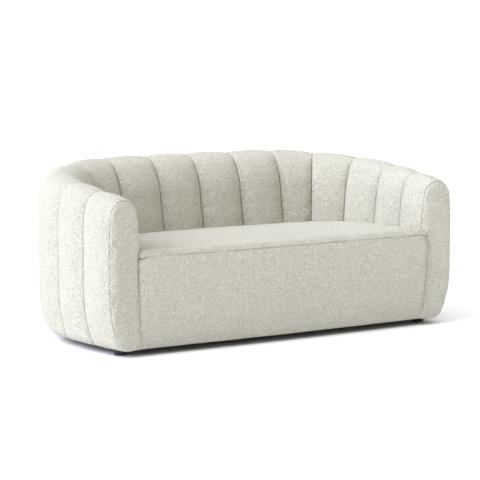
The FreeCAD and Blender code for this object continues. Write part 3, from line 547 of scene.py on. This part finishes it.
SEAT_CLEAR = 0.6
CORNER = 11.0
SEAT_CORNER = 14.0
SEAM_FRONT = FRONT_FACE + SEAM_SET
SEAT_COLUMNS = 141
ROLL_ROWS = 22
TOP_ROWS = 40
SEAT_SEAM_DEPTH = 1.8
SEAT_SEAM_WIDTH = 5.0
SEAT_SKIN_LINE = 390.0
SEAT_PULL = 0.6
SEAT_ABOVE_SEAM = 0.6
SEAT_ABOVE_PANEL = 0.4
SEAT_EDGE_DROP = 5.5
SEAT_EDGE_WIDTH = 14.0
ROLL_RATIO = 1.25
CROWN_FALL = 1.6
SIDE_POINTS = 700
ARM_POINTS_FROM = 300
SHORT_COLUMN = 20.0

side_places = between(0.0, WALL_LENGTH, SIDE_POINTS)
side_offsets = [skin_offset(spot, SEAT_SKIN_LINE, SEAT_PULL) - SEAT_CLEAR for spot in side_places]
SIDE_LINE = [at(spot, offset, 0)[:2] for spot, offset in zip(side_places, side_offsets)]
cap_edge = inner_offset(WALL_LENGTH, SEAT_SKIN_LINE) - SEAT_CLEAR
SIDE_LINE += [at(WALL_LENGTH, cap_edge + CAP_INSET + more, 0, more)[:2] for more in (4.0, 10.0, 20.0)]
PANEL_HALF = 674.9
CORNER_DROP = 6.0
CORNER_SPAN = 30.0
REAR = BACK_LINE + skin_offset(EQUAL_WIDTH / 2, SEAT_HEIGHT)


def bow(share):
    """How far the front bows out at a share of its half width."""
    return FRONT_BOW * max(1 - share * share, 0.0)


def half_width(y):
    """Half the distance between the arms at a y, at the height of the seat's edge."""
    ys = [point[1] for point in SIDE_LINE[ARM_POINTS_FROM:]]
    xs = [point[0] for point in SIDE_LINE[ARM_POINTS_FROM:]]
    return float(np.interp(-y, [-value for value in ys], xs))


def seam_line(x):
    """Height of the front seam at an x: level, and turned down into the corners by the arms."""
    over = max(abs(x) - PANEL_HALF + CORNER_SPAN, 0.0) / CORNER_SPAN
    return FRONT_SEAM - CORNER_DROP * min(over, 1.0) ** 2.2


def corner_cut(depth):
    """How far a rounded corner takes the side in at a depth behind the front."""
    if depth >= SEAT_CORNER:
        return 0.0
    return SEAT_CORNER - math.sqrt(SEAT_CORNER ** 2 - (SEAT_CORNER - depth) ** 2)


def crown_height(x, y):
    """Height of the seat's top, which is fullest behind its rounded front and falls to the back."""
    turn = SEAM_FRONT - bow(x / PANEL_HALF) + SEAT_ROLL
    back = max((y - turn) / (REAR - turn), 0.0)
    rise = SEAT_LIFT + SEAT_FULL * (1 - (x / (PANEL_HALF + CORNER)) ** 2)
    return SEAT_HEIGHT + rise * max(1 - back ** CROWN_FALL, 0.0)


def roll_profile(x):
    """The rounded front edge at an x, as (depth behind the seam, height) pairs from the seam up."""
    top = (SEAT_ROLL, crown_height(x, SEAM_FRONT - bow(x / PANEL_HALF) + SEAT_ROLL))
    low = (0.0, seam_line(x) + SEAT_ABOVE_SEAM)
    points = [low] + two_arcs(low, (0.0, 1.0), top, (1.0, 0.0), ROLL_RATIO, ROLL_ROWS // 2)
    pulled = []
    run = 0.0
    for number, (depth, height) in enumerate(points):
        if number:
            run += math.hypot(depth - points[number - 1][0], height - points[number - 1][1])
        pulled.append((depth + seam_pull(run, SEAT_SEAM_DEPTH, SEAT_SEAM_WIDTH), height))
    return pulled


def along_line(line, count):
    """Points evenly spaced along a line."""
    lengths = [0.0]
    for near, far in zip(line, line[1:]):
        lengths.append(lengths[-1] + math.hypot(far[0] - near[0], far[1] - near[1]))
    spots = np.linspace(0.0, lengths[-1], count)
    xs = np.interp(spots, lengths, [point[0] for point in line])
    ys = np.interp(spots, lengths, [point[1] for point in line])
    return list(zip(xs, ys))


def edge_drop(distance):
    """How far the seat's edge rounds down where it is tucked in beside the channels."""
    return seam_pull(distance, SEAT_EDGE_DROP, SEAT_EDGE_WIDTH)


def seat_index(row, column):
    """Number of a point of the seat's grid, whose end columns stop at the end of the rounded edge."""
    if column in (0, SEAT_COLUMNS - 1):
        row = min(row, ROLL_ROWS)
    return row * SEAT_COLUMNS + column


def seat_rows():
    """Rows of the cover's top side, from its seam over the rounded front edge back to the channels."""
    evenly = between(-1.0, 1.0, SEAT_COLUMNS)
    shares = [math.sin(math.pi / 2 * value) * 0.25 + value * 0.75 for value in evenly]
    turn_y = SEAM_FRONT + SEAT_ROLL
    right = [point for point in SIDE_LINE if point[1] > turn_y]
    right.append((half_width(turn_y), turn_y))
    line = [(-x, y) for x, y in reversed(right)] + right[1:]
    far_edge = along_line(line, SEAT_COLUMNS)
    rows = []
    for step in range(ROLL_ROWS + 1):
        row = []
        for share in shares:
            depth, height = roll_profile(share * (half_width(SEAM_FRONT) - SEAT_CORNER))[step]
            half = half_width(SEAM_FRONT + depth) - corner_cut(depth)
            x = share * half
            side_room = half - abs(x)
            lowest = seam_line(x) + SEAT_ABOVE_SEAM
            row.append((x, SEAM_FRONT + depth - bow(share), max(height - edge_drop(side_room), lowest)))
        rows.append(row)
    last = rows[-1]
    for step in range(1, TOP_ROWS + 1):
        part = math.sin(math.pi / 2 * step / TOP_ROWS) ** 0.8
        row = []
        for (x, y, height), (far_x, far_y) in zip(last, far_edge):
            spot_x = x + (far_x - x) * part
            spot_y = y + (far_y - y) * part
            room = math.hypot(far_x - spot_x, far_y - spot_y)
            length = math.hypot(far_x - x, far_y - y)
            drop = edge_drop(room) if length > SHORT_COLUMN else edge_drop(0.0)
            row.append((spot_x, spot_y, crown_height(spot_x, spot_y) - drop))
        rows.append(row)
    return rows


def seat_cover():
    """The crowned cover and the numbers of its held points."""
    rows = seat_rows()
    count = SEAT_COLUMNS
    points = [point for row in rows for point in row]
    faces = []
    for row in range(len(rows) - 1):
        for number in range(count - 1):
            corners = [seat_index(row, number), seat_index(row, number + 1)]
            corners += [seat_index(row + 1, number + 1), seat_index(row + 1, number)]
            faces.append(tuple(dict.fromkeys(corners)))
    border = list(range(count))
    border += [row * count + count - 1 for row in range(1, ROLL_ROWS + 1)]
    border += [len(rows) * count - 1 - number for number in range(1, count - 1)]
    border += [row * count for row in range(ROLL_ROWS, 0, -1)]
    first = len(points)
    for index in border:
        x, y, height = points[index]
        points.append((x, y, min(FRONT_SEAM, height) + SEAT_ABOVE_PANEL))
    for number in range(len(border)):
        after = (number + 1) % len(border)
        faces.append((border[number], first + number, first + after, border[after]))
    faces.append(tuple(range(first, first + len(border)))[::-1])
    used = sorted({index for face in faces for index in face})
    new_number = {index: number for number, index in enumerate(used)}
    held = []
    for index in used:
        row, column = divmod(index, SEAT_COLUMNS)
        inside = 2 <= row <= ROLL_ROWS + TOP_ROWS - 2 and 2 <= column <= SEAT_COLUMNS - 3
        if index >= first or not inside:
            held.append(new_number[index])
    faces = [tuple(new_number[index] for index in face) for face in faces]
    return new_object("boucle_seat_cover", [points[index] for index in used], faces), held


piece, seat_held = seat_cover()
cover(piece, "seat_cover", seat_held)


# Front panel

FULLEST = FRONT_SEAM - SEAT_ROUND
END_BULGE = 18.0
END_HOLD = 12.0
END_DEEP = 14.0
HEM_BOTTOM = 26.5
HEM_BACK = BOARD_FRONT + 11.3
HEM_TURN = 11.0
TOP_PULL = 9.0
TOP_PULL_WIDTH = 24.0
BULGE_POWER = 1.3
END_POINTS = 12
FRONT_POINTS = 121
PANEL_ROWS = 36
HEM_STEPS = (0.0, 0.3, 0.9, 1.8, 3.0, 4.4)
SEAM_STEPS = (10.0, 7.6, 5.2, 3.4, 2.0, 1.0, 0.3)


def set_back_at(height):
    """How far the panel's face stands back from its fullest line at a height: rake, seam and lower fold."""
    if height < FULLEST:
        rake = FRONT_RAKE * ((FULLEST - height) / (FULLEST - FRONT_BOTTOM)) ** 2
    else:
        rake = SEAM_SET * ((height - FULLEST) / (FRONT_SEAM - FULLEST)) ** 2
    seam = seam_pull(FRONT_SEAM - height, SEAT_SEAM_DEPTH, SEAT_SEAM_WIDTH)
    return rake + seam + seam_pull(height - HEM_BOTTOM, HEM_TURN, HEM_TURN)


def panel_row(height):
    """Closed plan of the front panel at a height: straight back, rounded bulging ends and a bowed front."""
    front = FRONT_FACE + set_back_at(height)
    back = HEM_BACK if height < FRONT_BOTTOM else BOARD_FRONT
    deep = min(END_DEEP, (back - front) / 2)
    share = min(max((height - FRONT_BOTTOM) / (FULLEST - FRONT_BOTTOM), 0.0), 1.0)
    bulge = END_HOLD + (END_BULGE - END_HOLD) * share ** BULGE_POWER
    bulge -= seam_pull(FRONT_SEAM - height, TOP_PULL, TOP_PULL_WIDTH)
    half = PANEL_HALF
    end = []
    for turn in between(0.0, 90.0, END_POINTS):
        turn = math.radians(turn)
        end.append((half + bulge - CORNER * (1 - math.cos(turn)), front + deep * (1 - math.sin(turn))))
    reach = end[-1][0]
    middle = [(x, front - bow(x / reach)) for x in between(reach, -reach, FRONT_POINTS)[1:-1]]
    left = [(half, back), (half + bulge * 0.35, front + deep + (back - front - deep) * 0.4)] + end
    outline = left + middle + [(-x, y) for x, y in reversed(left)]
    stretch = max(height - FRONT_BOTTOM, 0.0) / (FRONT_SEAM - FRONT_BOTTOM)
    return [(x, y, height + (seam_line(x) - FRONT_SEAM) * stretch) for x, y in outline]


rows = [HEM_BOTTOM + step for step in HEM_STEPS] + [FRONT_BOTTOM, FRONT_BOTTOM + 2.5]
rows += between(FRONT_BOTTOM + 6.0, FRONT_SEAM - 14.0, PANEL_ROWS)
rows += [FRONT_SEAM - step for step in SEAM_STEPS]
sections = [panel_row(height) for height in rows]
piece = lofted("boucle_front_panel", sections)
length = len(sections[0])
fixed = []
for index in range(len(piece.data.vertices)):
    row, column = divmod(index, length)
    if row < 9 or row > len(rows) - 5 or column < 3 or column > length - 4:
        fixed.append(index)
cover(piece, "front_border", fixed)


def divided(piece):
    """Divides every face of a piece once, without moving its points."""
    finer = piece.modifiers.new("finer", "SUBSURF")
    finer.subdivision_type = "SIMPLE"
    finer.levels = 1
    finer.render_levels = 1
    mesh = bpy.data.meshes.new_from_object(piece.evaluated_get(bpy.context.evaluated_depsgraph_get()))
    piece.modifiers.clear()
    old = piece.data
    piece.data = mesh
    bpy.data.meshes.remove(old)


simulate()
for number, piece in enumerate(boucle_pieces):
    divided(piece)
    direction = cap_ways.get(piece.name)
    uneven(piece, PAD_RELIEF, PAD_SIZE, number + PAD_SEED, direction)
    uneven(piece, NUB_RELIEF, NUB_SIZE, number + NUB_SEED, direction)


# Materials

def shader_material(name, colour, roughness):
    """A material with a principled shader; returns the material, its node tree and the shader."""
    material = bpy.data.materials.new(name)
    material.use_nodes = True
    tree = material.node_tree
    shader = next(node for node in tree.nodes if node.type == "BSDF_PRINCIPLED")
    shader.inputs["Base Color"].default_value = (*colour, 1.0)
    shader.inputs["Roughness"].default_value = roughness
    material.diffuse_color = (*colour, 1.0)
    return material, tree, shader


def add(tree, kind, **values):
    """A node with values for its properties and input sockets."""
    node = tree.nodes.new(kind)
    for key, value in values.items():
        if hasattr(node, key):
            setattr(node, key, value)
        else:
            node.inputs[key.replace("_", " ")].default_value = value
    return node


def object_space(tree):
    """The object's own coordinates, in metres."""
    return add(tree, "ShaderNodeTexCoord").outputs["Object"]


def ramp(tree, source, low, high):
    """A soft change between two colours as a value goes from 0 to 1."""
    node = tree.nodes.new("ShaderNodeValToRGB")
    node.color_ramp.elements[0].color = (*low, 1.0)
    node.color_ramp.elements[1].color = (*high, 1.0)
    tree.links.new(source, node.inputs["Fac"])
    return node.outputs["Color"]


def boucle_material():
    """Looped woolly cloth: curled nubs a few millimetres across, with painted shade in the gaps between them.
    """
    material, tree, shader = shader_material("boucle_cloth", (0.83, 0.82, 0.77), 0.95)
    link = tree.links.new
    shader.inputs["Specular IOR Level"].default_value = 0.15
    shader.inputs["Sheen Weight"].default_value = 0.18
    shader.inputs["Sheen Roughness"].default_value = 0.6
    place = object_space(tree)
    wander = add(tree, "ShaderNodeTexNoise", Scale=110.0, Detail=2.0)
    link(place, wander.inputs["Vector"])
    spread = tree.nodes.new("ShaderNodeVectorMath")
    spread.operation = "MULTIPLY_ADD"
    spread.inputs[1].default_value = (0.005, 0.005, 0.005)
    link(wander.outputs["Color"], spread.inputs[0])
    link(place, spread.inputs[2])
    nubs = add(tree, "ShaderNodeTexVoronoi", feature="SMOOTH_F1", Scale=250.0, Smoothness=0.4)
    link(spread.outputs["Vector"], nubs.inputs["Vector"])
    curls = add(tree, "ShaderNodeTexNoise", Scale=270.0, Detail=1.5, Roughness=0.55, Distortion=0.8)
    link(place, curls.inputs["Vector"])
    sunk = tree.nodes.new("ShaderNodeMath")
    sunk.operation = "MULTIPLY_ADD"
    sunk.inputs[1].default_value = -0.6
    link(nubs.outputs["Distance"], sunk.inputs[0])
    link(curls.outputs["Fac"], sunk.inputs[2])
    bump = add(tree, "ShaderNodeBump", Strength=1.0, Distance=0.007)
    link(sunk.outputs["Value"], bump.inputs["Height"])
    link(bump.outputs["Normal"], shader.inputs["Normal"])
    # Painted shade: the base colour is darker in the gaps between the nubs, standing in for the shade that
    # falls there.
    painted_gap_shade = tree.nodes.new("ShaderNodeMapRange")
    painted_gap_shade.inputs["From Min"].default_value = 0.0
    painted_gap_shade.inputs["From Max"].default_value = 0.5
    link(sunk.outputs["Value"], painted_gap_shade.inputs["Value"])
    # The ramp runs from the painted shade in the gaps to the cloth's own colour on the nubs' tips.
    colour = ramp(tree, painted_gap_shade.outputs["Result"], (0.46, 0.437, 0.348), (0.845, 0.813, 0.68))
    link(colour, shader.inputs["Base Color"])
    return material


boucle = boucle_material()
for piece in boucle_pieces:
    piece.data.materials.append(boucle)
    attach(piece, "root")


def grained_material(name, low, high, scale, stretch, roughness, relief):
    """Wood or board: grain drawn out along one direction."""
    material, tree, shader = shader_material(name, high, roughness)
    link = tree.links.new
    mapping = tree.nodes.new("ShaderNodeMapping")
    mapping.inputs["Scale"].default_value = stretch
    link(object_space(tree), mapping.inputs["Vector"])
    grain = add(tree, "ShaderNodeTexNoise", Scale=scale, Detail=5.0, Distortion=0.6)
    link(mapping.outputs["Vector"], grain.inputs["Vector"])
    link(ramp(tree, grain.outputs["Fac"], low, high), shader.inputs["Base Color"])
    bump = add(tree, "ShaderNodeBump", Strength=0.3, Distance=relief)
    link(grain.outputs["Fac"], bump.inputs["Height"])
    link(bump.outputs["Normal"], shader.inputs["Normal"])
    return material


def woven_material(name, low, high, threads, roughness):
    """Plain woven cloth or webbing: threads that cross."""
    material, tree, shader = shader_material(name, high, roughness)
    link = tree.links.new
    place = object_space(tree)
    warp = add(tree, "ShaderNodeTexWave", bands_direction="X", Scale=threads, Distortion=0.4)
    weft = add(tree, "ShaderNodeTexWave", bands_direction="Y", Scale=threads, Distortion=0.4)
    crossed = tree.nodes.new("ShaderNodeMath")
    crossed.operation = "MULTIPLY"
    for wave, socket in ((warp, 0), (weft, 1)):
        link(place, wave.inputs["Vector"])
        link(wave.outputs["Fac"], crossed.inputs[socket])
    link(ramp(tree, crossed.outputs["Value"], low, high), shader.inputs["Base Color"])
    bump = add(tree, "ShaderNodeBump", Strength=0.4, Distance=0.0004)
    link(crossed.outputs["Value"], bump.inputs["Height"])
    link(bump.outputs["Normal"], shader.inputs["Normal"])
    return material


def speckled_material(name, low, high, scale, roughness, relief, metallic=0.0):
    """Moulded, foamed, felted or plated stuff: a fine speckle in colour and surface."""
    material, tree, shader = shader_material(name, high, roughness)
    link = tree.links.new
    shader.inputs["Metallic"].default_value = metallic
    speckle = add(tree, "ShaderNodeTexNoise", Scale=scale, Detail=4.0, Roughness=0.65)
    link(object_space(tree), speckle.inputs["Vector"])
    link(ramp(tree, speckle.outputs["Fac"], low, high), shader.inputs["Base Color"])
    bump = add(tree, "ShaderNodeBump", Strength=0.35, Distance=relief)
    link(speckle.outputs["Fac"], bump.inputs["Height"])
    link(bump.outputs["Normal"], shader.inputs["Normal"])
    return material


finishes = {
    "plywood": grained_material(
        "birch_plywood", (0.5, 0.36, 0.21), (0.68, 0.52, 0.34), 9.0, (1.0, 6.0, 6.0), 0.6, 0.0003),
    "solid_wood": grained_material(
        "sawn_pine", (0.52, 0.37, 0.2), (0.72, 0.57, 0.37), 6.0, (1.0, 9.0, 9.0), 0.65, 0.0004),
    "fibreboard": grained_material(
        "hardboard", (0.24, 0.15, 0.09), (0.34, 0.23, 0.14), 160.0, (1.0, 1.0, 1.0), 0.7, 0.0002),
    "foam": speckled_material(
        "seat_foam_cells", (0.72, 0.66, 0.42), (0.84, 0.79, 0.58), 900.0, 0.95, 0.0006),
    "deck_cloth": woven_material(
        "cotton_deck", (0.58, 0.57, 0.53), (0.72, 0.71, 0.67), 420.0, 0.9),
    "dust_cloth": speckled_material(
        "black_non_woven", (0.012, 0.012, 0.013), (0.035, 0.035, 0.036), 700.0, 0.9, 0.0004),
    "webbing": woven_material(
        "elastic_webbing", (0.015, 0.015, 0.016), (0.06, 0.06, 0.062), 300.0, 0.8),
    "zinc_steel": speckled_material(
        "zinc_plate", (0.48, 0.49, 0.5), (0.62, 0.63, 0.65), 240.0, 0.35, 0.00005, 1.0),
    "black_plastic": speckled_material(
        "moulded_black", (0.008, 0.008, 0.008), (0.018, 0.018, 0.018), 900.0, 0.45, 0.0001),
}
slots = {entry["node"]: entry["material_slot"] for entry in frame["record"]["subparts"]}
for node, carried in frame["nodes"].items():
    finish = finishes.get(slots[node])
    if finish is not None:
        carried.data.materials.clear()
        carried.data.materials.append(finish)


# Camera, floor and light

YAW = 0.5668
PITCH = 0.1228
TARGET = Vector((0.0321, -0.0301, 0.3629))
DISTANCE = 7.8748
FOCAL_PIXELS = 1871.22
IMAGE_PIXELS = 480.0

ahead = Vector((math.sin(YAW) * math.cos(PITCH), math.cos(YAW) * math.cos(PITCH), -math.sin(PITCH)))
lens = bpy.data.cameras.new("photo_view")
lens.sensor_width = 36.0
lens.lens = FOCAL_PIXELS / IMAGE_PIXELS * lens.sensor_width
lens.clip_end = 900.0
camera = bpy.data.objects.new("photo_view", lens)
camera.location = TARGET - ahead * DISTANCE
camera.rotation_euler = ahead.to_track_quat("-Z", "Y").to_euler()
bpy.context.scene.collection.objects.link(camera)
bpy.context.scene.camera = camera

FLOOR_HALF = 400000.0
FLOOR_LEVEL = -0.5
floor_points = []
for x, y in ((-1, -1), (1, -1), (1, 1), (-1, 1)):
    floor_points.append((x * FLOOR_HALF, y * FLOOR_HALF, FLOOR_LEVEL))
floor = new_object("floor", floor_points, [(0, 1, 2, 3)])
pale, _, pale_shader = shader_material("pale_floor", (0.96, 0.96, 0.96), 0.9)
pale_shader.inputs["Specular IOR Level"].default_value = 0.0
floor.data.materials.append(pale)

world = bpy.data.worlds.new("white_room")
world.use_nodes = True
sky_tree = world.node_tree
sky = next(node for node in sky_tree.nodes if node.type == "BACKGROUND")
direction = add(sky_tree, "ShaderNodeTexCoord")
parts = add(sky_tree, "ShaderNodeSeparateXYZ")
sky_tree.links.new(direction.outputs["Generated"], parts.inputs["Vector"])
bands = add(sky_tree, "ShaderNodeValToRGB")
bands.color_ramp.elements[0].position = 0.05
bands.color_ramp.elements[0].color = (1.06, 1.06, 1.06, 1.0)
bands.color_ramp.elements[1].position = 0.12
bands.color_ramp.elements[1].color = (0.55, 0.539, 0.5, 1.0)
sky_tree.links.new(parts.outputs["Z"], bands.inputs["Fac"])
sky_tree.links.new(bands.outputs["Color"], sky.inputs["Color"])
sky.inputs["Strength"].default_value = 1.0
bpy.context.scene.world = world
bpy.context.scene.view_settings.view_transform = "Standard"


def soft_sun(name, toward, spread, power, colour):
    """A broad even light from a direction, as from a large soft box."""
    lamp = bpy.data.lights.new(name, "SUN")
    lamp.angle = math.radians(spread)
    lamp.energy = power
    lamp.color = colour
    holder = bpy.data.objects.new(name, lamp)
    holder.location = Vector(toward) * 5
    holder.rotation_euler = (-Vector(toward)).to_track_quat("-Z", "Y").to_euler()
    bpy.context.scene.collection.objects.link(holder)


soft_sun("key_light", (-0.83, 0.08, 0.54), 45.0, 3.65, (0.93, 0.98, 1.18))
soft_sun("top_light", (0.0, 0.0, 1.0), 90.0, 1.9, (0.95, 0.98, 1.1))
